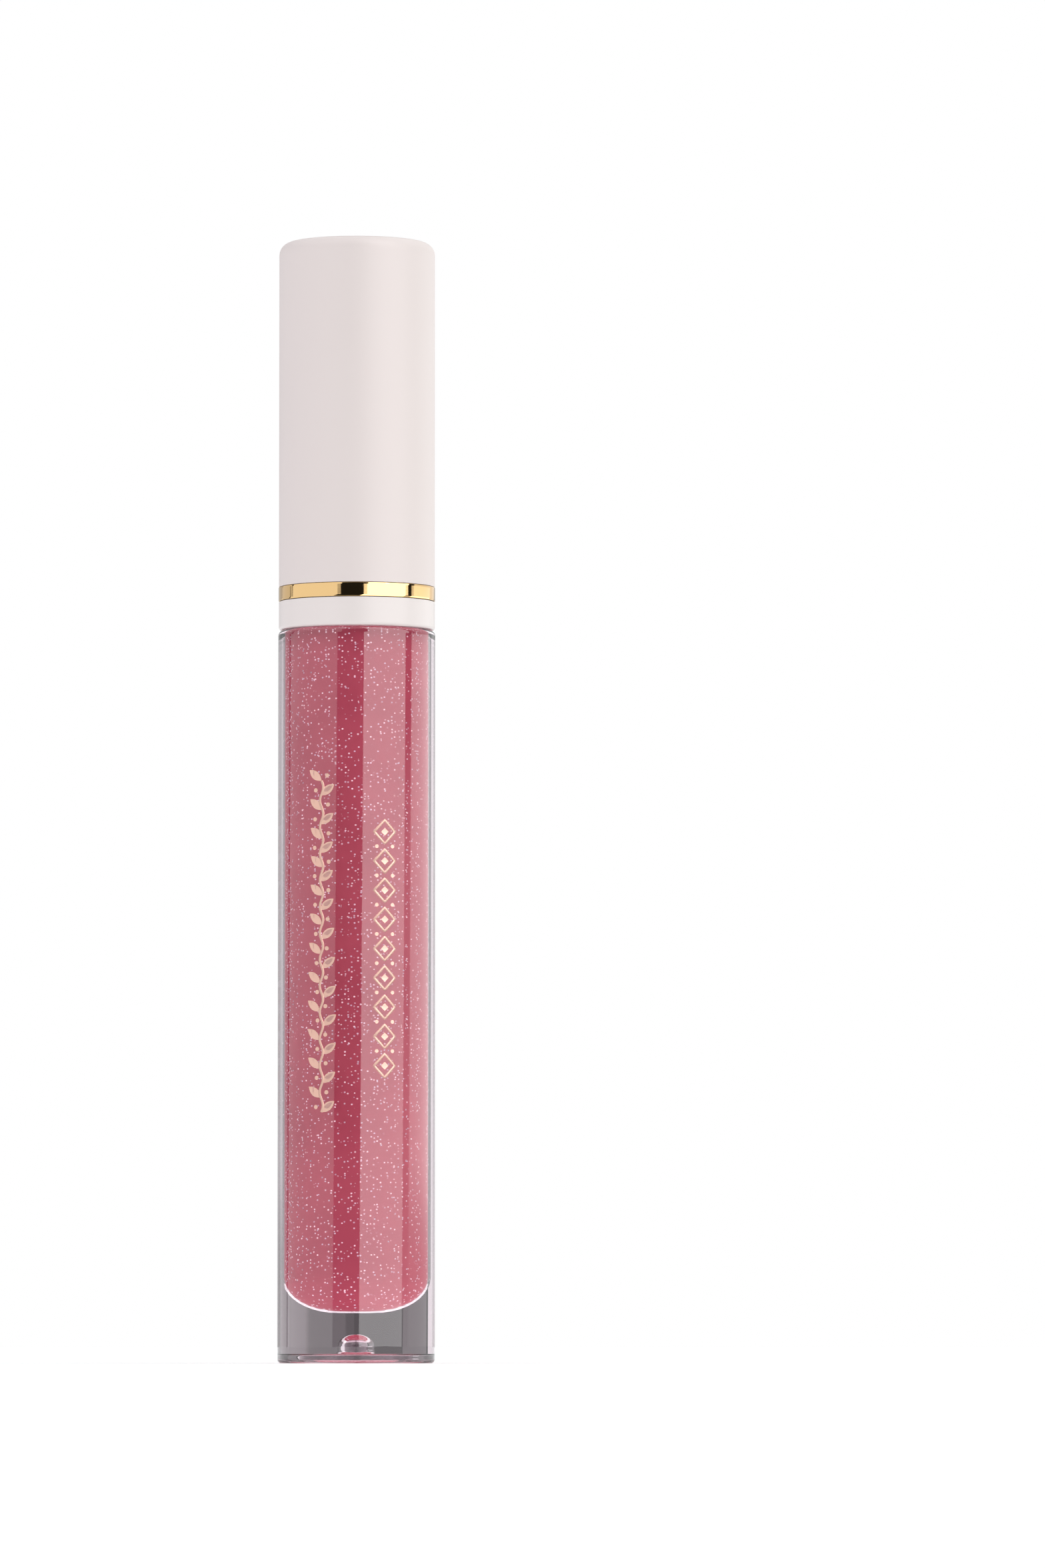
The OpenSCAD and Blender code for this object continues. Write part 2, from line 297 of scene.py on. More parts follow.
# ----------------------------------------------------------------------------------------------------
# Outlines: (radius, height) points, anticlockwise round the material with the axis on the left


def arc(r, z, radius, start, end):
    """Points on an arc about (r, z), from one angle to another in degrees."""
    steps = max(2, math.ceil(abs(end - start) / ARC_STEP))
    angles = [math.radians(start + (end - start) * i / steps) for i in range(steps + 1)]
    return [(max(0, r + radius * math.cos(a)), z + radius * math.sin(a)) for a in angles]


def supported(outline):
    """The outline with a point close to each end of its long straight stretches."""
    points = [outline[0]]
    for (r0, z0), (r1, z1) in zip(outline, outline[1:]):
        span = math.hypot(r1 - r0, z1 - z0)
        if span > 3 * SUPPORT:
            for share in (SUPPORT / span, 1 - SUPPORT / span):
                points.append((r0 + (r1 - r0) * share, z0 + (z1 - z0) * share))
        points.append((r1, z1))
    return points


def rows(r, low, high):
    """Points up a straight wall, close enough together to carry the thread."""
    count = math.ceil(abs(high - low) / THREAD_ROW)
    return [(r, low + (high - low) * i / count) for i in range(count + 1)]


# ----------------------------------------------------------------------------------------------------
# Geometry Nodes


def new_tree(name, whole, *numbers):
    """A geometry tree with a whole-number input and others, and its group input and output."""
    tree = bpy.data.node_groups.new(name, "GeometryNodeTree")
    inputs = [
        ("Geometry", "Geometry"), (whole, "Int"), *((n, "Float") for n in numbers), ("Material", "Material")
    ]
    for title, kind in inputs:
        tree.interface.new_socket(name=title, in_out="INPUT", socket_type="NodeSocket" + kind)
    tree.interface.new_socket(name="Geometry", in_out="OUTPUT", socket_type="NodeSocketGeometry")
    return tree, tree.nodes.new("NodeGroupInput").outputs, tree.nodes.new("NodeGroupOutput").inputs


def close_tree(tree, geometry, given, result):
    """Ends a tree in Realize Instances and Set Material."""
    solid = add(tree, "GeometryNodeRealizeInstances", {"Geometry": geometry})
    painted = add(tree, "GeometryNodeSetMaterial", {"Geometry": solid, "Material": given["Material"]})
    tree.links.new(painted.outputs[0], result["Geometry"])


def grown(name, mesh, tree, inputs):
    """The mesh that a tree makes of another mesh, as a plain object at the origin."""
    source = bpy.data.objects.new(name + "_source", mesh)
    bpy.context.scene.collection.objects.link(source)
    modifier = source.modifiers.new(tree.name, "NODES")
    modifier.node_group = tree
    for item in tree.interface.items_tree:
        if item.in_out == "INPUT" and item.name in inputs:
            modifier[item.identifier] = inputs[item.name]
    graph = bpy.context.evaluated_depsgraph_get()
    result = bpy.data.meshes.new_from_object(source.evaluated_get(graph))
    source.modifiers.remove(modifier)
    bpy.data.objects.remove(source)
    result.name = name
    piece = bpy.data.objects.new(name, result)
    bpy.context.scene.collection.objects.link(piece)
    if not result.polygons:
        raise RuntimeError(f"{name} came out empty")
    return piece


def turned_tree():
    """Turns an outline round the axis, and raises or sinks a screw thread where the outline allows it."""
    tree, given, result = new_tree(
        "Turned piece", "Segments", "Thread Start", "Thread Angle", "Thread Pitch", "Thread Turns",
        "Thread Depth", "Thread Root", "Thread Crest", "Thread Fade", "Thread Blunt"
    )
    outline = given["Geometry"]
    count = add(
        tree, "GeometryNodeAttributeDomainSize", {"Geometry": outline}, component="MESH"
    ).outputs["Point Count"]
    columns = add(tree, "Math:ADD", given["Segments"], 1.0)
    grid = add(tree, "GeometryNodeMeshGrid", {"Vertices X": columns, "Vertices Y": count})
    index = add(tree, "GeometryNodeInputIndex")
    row = add(tree, "FunctionNodeIntegerMath:MODULO", index, count)
    column = add(tree, "FunctionNodeIntegerMath:DIVIDE_FLOOR", index, count)
    position = add(tree, "GeometryNodeInputPosition")
    point = add(
        tree, "GeometryNodeSampleIndex", {"Geometry": outline, "Value": position, "Index": row},
        data_type="FLOAT_VECTOR", domain="POINT"
    )
    mark = add(tree, "GeometryNodeInputNamedAttribute", {"Name": "threaded"}, data_type="FLOAT")
    threaded = add(
        tree, "GeometryNodeSampleIndex", {"Geometry": outline, "Value": mark, "Index": row},
        data_type="FLOAT", domain="POINT"
    )
    parts = add(tree, "SeparateXYZ", point).outputs
    share = add(tree, "Math:DIVIDE", column, given["Segments"])
    angle = add(tree, "Math:MULTIPLY", share, math.tau)

    # The height of each turn of the thread above this angle, faded at both of its ends
    turn_share = add(tree, "Math:DIVIDE", given["Thread Angle"], math.tau)
    behind = add(tree, "Math:SUBTRACT", share, turn_share)
    first = add(tree, "Math:FRACT", behind)
    half_slope = add(tree, "Math:SUBTRACT", given["Thread Root"], given["Thread Crest"])
    flank = add(tree, "Math:DIVIDE", half_slope, 2.0)
    half_root = add(tree, "Math:DIVIDE", given["Thread Root"], 2.0)
    ridge = None
    for turn in range(MOST_TURNS):
        along = add(tree, "Math:ADD", first, float(turn))
        middle = add(tree, "Math:MULTIPLY_ADD", along, given["Thread Pitch"], given["Thread Start"])
        away = add(tree, "Math:SUBTRACT", parts["Z"], middle)
        off = add(tree, "Math:ABSOLUTE", away)
        inside = add(tree, "Math:SUBTRACT", half_root, off)
        shape = add(tree, "Math:DIVIDE", inside, flank, use_clamp=True)
        rise = add(tree, "Math:DIVIDE", along, given["Thread Fade"])
        rest = add(tree, "Math:SUBTRACT", given["Thread Turns"], along)
        fall = add(tree, "Math:DIVIDE", rest, given["Thread Fade"])
        nearest = add(tree, "Math:MINIMUM", rise, fall)
        blunt = add(tree, "Math:ADD", nearest, given["Thread Blunt"], use_clamp=True)
        here = add(tree, "Math:GREATER_THAN", rest, 0.0)
        faded = add(tree, "Math:MULTIPLY", blunt, here)
        one = add(tree, "Math:MULTIPLY", shape, faded)
        ridge = add(tree, "Math:MAXIMUM", ridge, one) if ridge else one
    marked = add(tree, "Math:MULTIPLY", ridge, threaded)
    radius = add(tree, "Math:MULTIPLY_ADD", marked, given["Thread Depth"], parts["X"])
    flat = add(tree, "CombineXYZ", {0: radius, 2: parts["Z"]})
    placed = add(tree, "VectorRotate", {"Vector": flat, "Angle": angle}, rotation_type="Z_AXIS")
    shaped = add(tree, "GeometryNodeSetPosition", {"Geometry": grid, "Position": placed})
    closed = add(tree, "GeometryNodeMergeByDistance", {"Geometry": shaped, "Distance": 0.001 * MM})
    smooth = add(tree, "GeometryNodeSetShadeSmooth", {"Geometry": closed})
    close_tree(tree, smooth, given, result)
    return tree


def turned(name, outline, material, thread=None, threaded=()):
    """A piece turned from its outline. threaded is the radius, bottom and top of the wall with the thread."""
    points = supported(outline)
    mesh = bpy.data.meshes.new(name + "_outline")
    mesh.from_pydata([(r, 0, z) for r, z in points], [], [])
    marks = mesh.attributes.new("threaded", "FLOAT", "POINT")
    if threaded:
        r, low, high = threaded
        marks.data.foreach_set(
            "value", [float(abs(p - r) < SUPPORT / 10 and low < z < high) for p, z in points]
        )
    tree = bpy.data.node_groups.get("Turned piece") or turned_tree()
    inputs = {
        "Segments": SEGMENTS, "Thread Start": 0.0, "Thread Angle": 0.0, "Thread Pitch": MM,
        "Thread Turns": 1.0, "Thread Depth": 0.0, "Thread Root": 2 * MM, "Thread Crest": MM,
        "Thread Fade": THREAD_FADE, "Thread Blunt": THREAD_BLUNT, "Material": material,
    }
    inputs.update(thread or {})
    piece = grown(name, mesh, tree, inputs)
    piece.data.set_sharp_from_angle(angle=math.radians(SHARP_ANGLE))
    return piece


# ----------------------------------------------------------------------------------------------------
# Materials


def new_finish(name, **settings):
    """A material with one Principled shader, its sockets set by name."""
    material = bpy.data.materials.new(name)
    material.use_nodes = True
    tree = material.node_tree
    tree.nodes.clear()
    shader = add(tree, "BsdfPrincipled")
    for title, value in settings.items():
        shader.inputs[title.replace("_", " ")].default_value = value
    add(tree, "OutputMaterial", {"Surface": shader})
    place = add(tree, "TexCoord").outputs["Object"]
    return material, tree, shader.inputs, place


def wire(tree, sockets, **sources):
    """Links nodes or sockets to the shader's sockets of those names."""
    for title, source in sources.items():
        tree.links.new(getattr(source, "outputs", [source])[0], sockets[title.replace("_", " ")])


def clear_petg(settings):
    """Injection-moulded PETG: water-clear and heavy, with the faint waves of a cooled moulding."""
    material, tree, sockets, place = new_finish(
        "clear_petg", Base_Color=rgba(settings.tint), Transmission_Weight=1.0, IOR=1.57, Roughness=0.0
    )
    # Moulding waves lie 6 mm apart and stretch along the barrel
    stretched = add(tree, "Mapping", {"Vector": place, "Scale": (1 / (6 * MM), 1 / (6 * MM), 1 / (30 * MM))})
    waves = add(tree, "TexNoise", {"Vector": stretched, "Scale": 1.0, "Detail": 1.0})
    bump = add(tree, "Bump", {"Height": waves, "Strength": 0.04, "Distance": 0.05 * MM})
    wire(tree, sockets, Normal=bump)
    return material


def shimmer_gloss(settings):
    """Pigmented lip gloss: a pink oil body with pearl flakes, which reflects like silver where the clear wall
    is looked through at a grazing angle."""
    material, tree, sockets, place = new_finish("lip_gloss", IOR=1.45, Specular_IOR_Level=0.0)
    # Slow clouds in the body where the pearl has drifted, 9 mm apart
    clouds = add(tree, "TexNoise", {"Vector": place, "Scale": 1 / (9 * MM), "Detail": 3.0})
    thin = add(tree, "MapRange", {"Value": clouds, "From Min": 0.35, "From Max": 0.65})
    body = add(tree, "Mix", {0: thin, 6: rgba(settings.depths), 7: rgba(settings.body)}, data_type="RGBA")

    # Pearl flakes: two cells in five carry a flake, tilted and tinted its own way. A real flake is 0.05 mm
    # across; it is drawn over three times as large so that it shows
    cells = add(tree, "TexVoronoi", {"Vector": place, "Scale": 1 / settings.flake})
    near = add(tree, "MapRange", {"Value": cells.outputs["Distance"], "From Min": 0.35, "From Max": 0.25})
    chance = add(tree, "SeparateColor", cells.outputs["Color"]).outputs
    some = add(tree, "MapRange", {"Value": chance["Red"], "From Min": 0.54, "From Max": 0.62})
    flake = add(tree, "Math:MULTIPLY", near.outputs[0], some.outputs[0])
    normal = add(tree, "NewGeometry").outputs["Normal"]
    tilt = add(tree, "VectorMath:SUBTRACT", cells.outputs["Color"], (0.5, 0.5, 0.5))
    leaning = add(tree, "VectorMath:SCALE", {0: tilt, "Scale": flake})
    wide = add(tree, "VectorMath:MULTIPLY_ADD", leaning, (0.7, 0.7, 0.7), normal)
    turned_normal = add(tree, "VectorMath:NORMALIZE", wide)

    # Light passes from the plastic into the thinner oil, so it is wholly reflected past the critical angle
    silver = add(tree, "Fresnel", {"IOR": settings.oil / settings.wall})
    pearl = add(tree, "Math:MULTIPLY", flake, 0.95)
    shine = add(tree, "Math:MULTIPLY_ADD", flake, 0.35, 0.06)
    metal = add(tree, "Math:MAXIMUM", silver, shine)
    tints = {0: chance["Blue"], 6: rgba(linear("FFE0E5")), 7: rgba(linear("EBCFE4"))}
    tinted = add(tree, "Mix", tints, data_type="RGBA")
    sparkle = add(tree, "Mix", {0: pearl, 6: body.outputs[2], 7: tinted.outputs[2]}, data_type="RGBA")
    skin = add(tree, "Mix", {0: silver, 6: sparkle.outputs[2], 7: rgba(linear("F4F1F2"))}, data_type="RGBA")
    polish = add(tree, "MapRange", {"Value": silver, "To Min": 0.3, "To Max": 0.02})
    wire(tree, sockets, Base_Color=skin.outputs[2], Metallic=metal, Roughness=polish, Normal=turned_normal)
    return material


def moulded_plastic(name, code, roughness, mottle, peel, peel_size, ior):
    """Moulded plastic: an even colour with a cloudy variation in tone and gloss, and a fine orange peel."""
    material, tree, sockets, place = new_finish(name, IOR=ior)
    clouds = add(tree, "TexNoise", {"Vector": place, "Scale": 1 / (14 * MM), "Detail": 4.0})
    tone = add(tree, "MapRange", {"Value": clouds, "To Min": 1 - mottle, "To Max": 1 + mottle})
    tinted = add(tree, "VectorMath:SCALE", {0: tuple(code), "Scale": tone})
    gloss = add(tree, "MapRange", {"Value": clouds, "To Min": roughness * 0.85, "To Max": roughness * 1.15})
    grain = add(tree, "TexNoise", {"Vector": place, "Scale": 1 / peel_size, "Detail": 2.0})
    bump = add(tree, "Bump", {"Height": grain, "Strength": peel, "Distance": 0.01 * MM})
    wire(tree, sockets, Base_Color=tinted, Roughness=gloss, Normal=bump)
    return material


def anodised_gold(settings):
    """Turned and anodised aluminium: a gold mirror with the tool's fine rings round it."""
    material, tree, sockets, place = new_finish("gold_anodised", Metallic=1.0, Base_Color=rgba(settings.gold))
    # Turning rings 0.04 mm apart
    rings = add(
        tree, "TexWave", {"Vector": place, "Scale": 1 / (0.12 * MM), "Distortion": 0.6}, wave_type="BANDS",
        bands_direction="Z"
    )
    bump = add(tree, "Bump", {"Height": rings, "Strength": 0.02, "Distance": 0.003 * MM})
    smears = add(tree, "TexNoise", {"Vector": place, "Scale": 1 / (2 * MM), "Detail": 3.0})
    polish = add(tree, "MapRange", {"Value": smears, "To Min": 0.02, "To Max": 0.05})
    wire(tree, sockets, Normal=bump, Roughness=polish)
    return material


def stamped_foil(settings):
    """Hot-stamped foil: pale rose gold, softly crinkled by the press."""
    material, tree, sockets, place = new_finish("stamped_foil", Metallic=0.75, Base_Color=rgba(settings.gold))
    crinkle = add(tree, "TexNoise", {"Vector": place, "Scale": 1 / (0.35 * MM), "Detail": 3.0})
    bump = add(tree, "Bump", {"Height": crinkle, "Strength": 0.2, "Distance": 0.02 * MM})
    polish = add(tree, "MapRange", {"Value": crinkle, "To Min": 0.3, "To Max": 0.5})
    wire(tree, sockets, Normal=bump, Roughness=polish)
    return material


def stained_stem(settings, tip_z):
    """Moulded acetal: milky white and slippery, with the faint film of gloss that the wiper leaves."""
    material, tree, sockets, place = new_finish("stem_pom", IOR=1.48, Coat_Weight=0.3, Coat_Roughness=0.08)
    height = add(tree, "SeparateXYZ", place).outputs["Z"]
    reach = add(tree, "MapRange", {"Value": height, "From Min": tip_z + 9 * MM, "From Max": tip_z})
    # Streaks of gloss run along the stem, 0.8 mm wide and 8 mm long
    drawn = add(tree, "Mapping", {"Vector": place, "Scale": (1 / (0.8 * MM), 1 / (0.8 * MM), 1 / (8 * MM))})
    streaks = add(tree, "TexNoise", {"Vector": drawn, "Scale": 1.0, "Detail": 2.0})
    film = add(tree, "Math:MULTIPLY", reach, streaks)
    thin = add(tree, "Math:MULTIPLY", film, 0.45)
    skin = add(tree, "Mix", {0: thin, 6: rgba(settings.white), 7: rgba(linear("E6B6C1"))}, data_type="RGBA")
    polish = add(tree, "MapRange", {"Value": streaks, "To Min": 0.24, "To Max": 0.36})
    wire(tree, sockets, Base_Color=skin.outputs[2], Roughness=polish)
    return material


def wet_flock(settings):
    """Short nylon fibre soaked in gloss: deep pink, each clump with a wet highlight."""
    material, tree, sockets, place = new_finish("wet_flock", IOR=1.46, Coat_Weight=0.7, Coat_Roughness=0.06)
    clumps = add(tree, "TexNoise", {"Vector": place, "Scale": 1 / (0.7 * MM), "Detail": 4.0})
    pale = [min(1, c * 1.35) for c in settings.flock]
    deep = [c * 0.72 for c in settings.flock]
    shade = add(tree, "MapRange", {"Value": clumps, "From Min": 0.35, "From Max": 0.68})
    skin = add(tree, "Mix", {0: shade, 6: rgba(deep), 7: rgba(pale)}, data_type="RGBA")
    polish = add(tree, "MapRange", {"Value": clumps, "To Min": 0.3, "To Max": 0.5})
    fine = add(tree, "TexNoise", {"Vector": place, "Scale": 1 / (0.12 * MM), "Detail": 2.0})
    bump = add(tree, "Bump", {"Height": fine, "Strength": 0.3, "Distance": 0.03 * MM})
    wire(tree, sockets, Base_Color=skin.outputs[2], Roughness=polish, Normal=bump)
    return material


def foam_gasket():
    """Expanded polyethylene sheet, die-cut: white, matt, with fine open cells in its cut edge."""
    material, tree, sockets, place = new_finish(
        "gasket_foam", Base_Color=rgba(linear("EDECEA")), Roughness=0.8
    )
    cells = add(tree, "TexVoronoi", {"Vector": place, "Scale": 1 / (0.18 * MM)})
    bump = add(tree, "Bump", {"Height": cells, "Strength": 0.5, "Distance": 0.05 * MM})
    wire(tree, sockets, Normal=bump)
    return material


# ----------------------------------------------------------------------------------------------------
# Pieces


def settle(piece, body, slot, *nodes):
    """Ties a finished piece to its body, and hides the frame's nodes that it stands for. The slot argument,
    its material's name, is not used.
    """
    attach(piece, body)
    if nodes:
        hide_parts(*nodes)


def neck_thread(thread, shoulder):
    """The neck's thread as inputs of the turned piece."""
    return {
        "Thread Start": shoulder + thread.start, "Thread Pitch": thread.pitch, "Thread Turns": thread.turns,
        "Thread Depth": thread.depth, "Thread Root": thread.root, "Thread Crest": thread.crest,
    }


def cap_groove(thread, shoulder):
    """The cap's thread groove as inputs of the turned piece."""
    crest = thread.crest + 2 * thread.gap
    flank = (thread.root - thread.crest) / thread.depth
    return {
        "Thread Start": shoulder + thread.start - thread.pitch * thread.turns,
        "Thread Angle": -math.tau * thread.turns, "Thread Pitch": thread.pitch,
        "Thread Turns": 2 * thread.turns, "Thread Depth": thread.groove, "Thread Crest": crest,
        "Thread Root": crest + thread.groove * flank,
    }


class GLOSSTUBE_OT_bottle(Operator):
    """Turns the clear bottle with its cavity, base dimple, neck and thread"""

    bl_idname = "gloss_tube.bottle"
    bl_label = "Bottle"

    def execute(self, context):
        b = context.scene.gloss_tube_bottle
        thread = context.scene.gloss_tube_thread
        body_r = BOTTLE_HIGH.x
        top = BOTTLE_HIGH.z
        neck = b.cavity + b.neck_wall
        dimple = b.recess_depth + b.gate_depth - b.gate
        corner = b.recess_edge
        outline = arc(0, dimple, b.gate, 90, 0)
        outline += arc(b.gate + b.gate_flare, b.recess_depth + b.gate_flare, b.gate_flare, 180, 270)
        outline += arc(b.recess - corner, b.recess_depth - corner, corner, 90, 0)
        outline += arc(b.recess + corner, corner, corner, 180, 270)
        outline += arc(body_r - b.edge, b.edge, b.edge, -90, 0)
        outline += arc(body_r - b.shoulder_edge, b.shoulder - b.shoulder_edge, b.shoulder_edge, 0, 90)
        outline += rows(neck, b.shoulder, top - b.neck_edge)
        outline += arc(neck - b.neck_edge, top - b.neck_edge, b.neck_edge, 0, 90)[1:]
        outline += [(b.cavity, top)]
        outline += arc(b.cavity - b.corner, b.base + b.corner, b.corner, 0, -90)
        outline += [(0, b.base)]
        spread = (neck, b.shoulder + thread.room, top - thread.room)
        piece = turned("bottle_clear", outline, clear_petg(b), neck_thread(thread, b.shoulder), spread)
        settle(piece, "bottle", "clear_petg", "bottle")
        return {"FINISHED"}


class GLOSSTUBE_OT_gloss(Operator):
    """Turns the gloss, with its meniscus and the channel that the wand keeps open"""

    bl_idname = "gloss_tube.gloss"
    bl_label = "Gloss"

    def execute(self, context):
        b = context.scene.gloss_tube_bottle
        g = context.scene.gloss_tube_gloss
        wall = b.cavity + g.sink
        floor = b.base - g.sink
        top = GLOSS_HIGH.z
        pocket = FLOCK_HIGH.x + FILM
        nose = FLOCK_LOW.z - FILM
        outline = [(0, floor)]
        outline += arc(b.cavity - b.corner, floor + b.corner + g.sink, b.corner + g.sink, -90, 0)
        outline += [(wall, top + g.meniscus)]
        outline += arc(wall - g.meniscus, top + g.meniscus, g.meniscus, 0, -90)[1:]
        outline += arc(g.channel + g.meniscus, top + g.meniscus, g.meniscus, -90, -160)
        ceiling = FLOCK_HIGH.z + g.headroom
        outline += [(g.channel, ceiling), (pocket, ceiling)]
        outline += arc(0, nose + pocket, pocket, 0, -90)
        piece = turned("gloss", outline, shimmer_gloss(g))
        settle(piece, "bottle", "lip_gloss", "gloss_fill")
        return {"FINISHED"}


class GLOSSTUBE_OT_cap_shell(Operator):
    """Turns the ivory outer cap"""

    bl_idname = "gloss_tube.cap_shell"
    bl_label = "Outer cap"

    def execute(self, context):
        c = context.scene.gloss_tube_cap
        r, low, high = SHELL_HIGH.x, SHELL_LOW.z, SHELL_HIGH.z
        bore = r - c.wall
        e = c.break_edge
        outline = [(0, high - c.end), (bore, high - c.end), (bore, low)]
        outline += arc(r - e, low + e, e, -90, 0)
        outline += arc(r - c.top_edge, high - c.top_edge, c.top_edge, 0, 90)
        outline += [(0, high)]
        material = moulded_plastic("ivory_abs", c.ivory, 0.42, 0.01, 0.12, 0.7 * MM, 1.54)
        piece = turned("cap_shell", outline, material)
        settle(piece, "applicator", "ivory_abs", "outer_cap")
        return {"FINISHED"}


class GLOSSTUBE_OT_gold_band(Operator):
    """Turns the gold band"""

    bl_idname = "gloss_tube.gold_band"
    bl_label = "Gold band"

    def execute(self, context):
        c = context.scene.gloss_tube_cap
        r, low, high = BAND_HIGH.x, BAND_LOW.z, BAND_HIGH.z
        bore = r - c.wall + 2 * FILM
        e = c.band_edge
        outline = [(bore, low)]
        outline += arc(r - e, low + e, e, -90, 0) + arc(r - e, high - e, e, 0, 90)
        outline += [(bore, high), (bore, low)]
        piece = turned("gold_ring", outline, anodised_gold(c))
        settle(piece, "gold_band", "gold_anodised", "gold_band")
        return {"FINISHED"}


def fin_tree():
    """Fins round the socket, one to each point of a circle."""
    tree, given, result = new_tree(
        "Fins round a socket", "Count", "Inner Radius", "Outer Radius", "Thickness", "Foot", "Height"
    )
    reach = add(tree, "Math:SUBTRACT", given["Outer Radius"], given["Inner Radius"])
    size = add(tree, "CombineXYZ", reach, given["Thickness"], given["Height"])
    block = add(tree, "GeometryNodeMeshCube", {"Size": size})
    both = add(tree, "Math:ADD", given["Outer Radius"], given["Inner Radius"])
    out = add(tree, "Math:DIVIDE", both, 2.0)
    up = add(tree, "Math:MULTIPLY_ADD", given["Height"], 0.5, given["Foot"])
    place = add(tree, "CombineXYZ", {0: out, 2: up})
    fin = add(tree, "GeometryNodeTransform", {"Geometry": block, "Translation": place})
    spots = add(tree, "GeometryNodeMeshCircle", {"Vertices": given["Count"], "Radius": 0.0})
    index = add(tree, "GeometryNodeInputIndex")
    share = add(tree, "Math:DIVIDE", index, given["Count"])
    angle = add(tree, "Math:MULTIPLY", share, math.tau)
    spin = add(tree, "FunctionNodeAxisAngleToRotation", {"Axis": (0, 0, 1), "Angle": angle})
    fins = add(tree, "GeometryNodeInstanceOnPoints", {"Points": spots, "Instance": fin, "Rotation": spin})
    close_tree(tree, fins, given, result)
    return tree


class GLOSSTUBE_OT_inner_cap(Operator):
    """Turns the threaded inner cap, and sets the fins round its socket"""

    bl_idname = "gloss_tube.inner_cap"
    bl_label = "Inner cap"

    def execute(self, context):
        b = context.scene.gloss_tube_bottle
        c = context.scene.gloss_tube_cap
        w = context.scene.gloss_tube_wand
        thread = context.scene.gloss_tube_thread
        r, rim, top = LINER_HIGH.x, LINER_LOW.z, LINER_HIGH.z
        liner = r - c.wall + FILM
        bore = b.cavity + b.neck_wall + thread.depth + thread.gap
        socket_z = top - c.socket
        ceiling = socket_z - c.ceiling
        collar = rim + c.collar
        e = c.break_edge
        outline = rows(bore, ceiling, rim + e)[1:-1]
        outline += arc(bore + e, rim + e, e, 180, 270)
        outline += arc(r - c.rim_edge, rim + c.rim_edge, c.rim_edge, -90, 0)
        outline += arc(r - e, collar - e, e, 0, 90)
        outline += [(liner, collar), (liner, socket_z), (w.stem + c.socket_wall, socket_z)]
        outline += [(w.stem + c.socket_wall, top), (w.stem, top)]
        outline += [(w.stem, ceiling), (bore, ceiling), outline[0]]
        material = moulded_plastic("white_pp", c.collar_white, 0.28, 0.01, 0.1, 0.5 * MM, 1.49)
        spread = (bore, rim + thread.cap_room, ceiling - thread.cap_room)
        piece = turned("cap_liner", outline, material, cap_groove(thread, b.shoulder), spread)
        settle(piece, "applicator", "white_pp", "inner_cap")
        fins = grown("cap_liner_fins", bpy.data.meshes.new("fins"), fin_tree(), {
            "Count": c.fins, "Inner Radius": w.stem + c.socket_wall - c.fin_root,
            "Outer Radius": liner - c.fin_gap, "Thickness": c.fin_thickness, "Foot": socket_z,
            "Height": c.socket, "Material": material,
        })
        settle(fins, "applicator", "white_pp", "inner_cap")
        return {"FINISHED"}


class GLOSSTUBE_OT_stem(Operator):
    """Turns the tapered stem with its flange and its beaded shank"""

    bl_idname = "gloss_tube.stem"
    bl_label = "Stem"

    def execute(self, context):
        c = context.scene.gloss_tube_cap
        w = context.scene.gloss_tube_wand
        low, high = STEM_LOW.z, STEM_HIGH.z
        flange_r = STEM_HIGH.x
        socket_z = LINER_HIGH.z - c.socket
        ceiling = socket_z - c.ceiling
        bead_z = (socket_z + high) / 2
        e = c.break_edge
        bore_top = CORE_HIGH.z + RUN_GAP
        outline = [(0, bore_top), (w.peg, bore_top), (w.peg, low)]
        outline += arc(w.stem_tip - e, low + e, e, -90, 0)
        outline += arc(w.stem + e, ceiling - w.flange - e, e, 180, 90)
        outline += arc(flange_r - e, ceiling - w.flange + e, e, -90, 0)
        outline += arc(flange_r - e, ceiling - e, e, 0, 90)
        outline += [(w.stem, ceiling)]
        outline += arc(w.stem, bead_z, w.bead, -90, 90)
        outline += arc(w.stem - e, high - e, e, 0, 90) + [(0, high)]
        piece = turned("stem_white", outline, stained_stem(w, low))
        settle(piece, "applicator", "stem_pom", "stem")
        return {"FINISHED"}


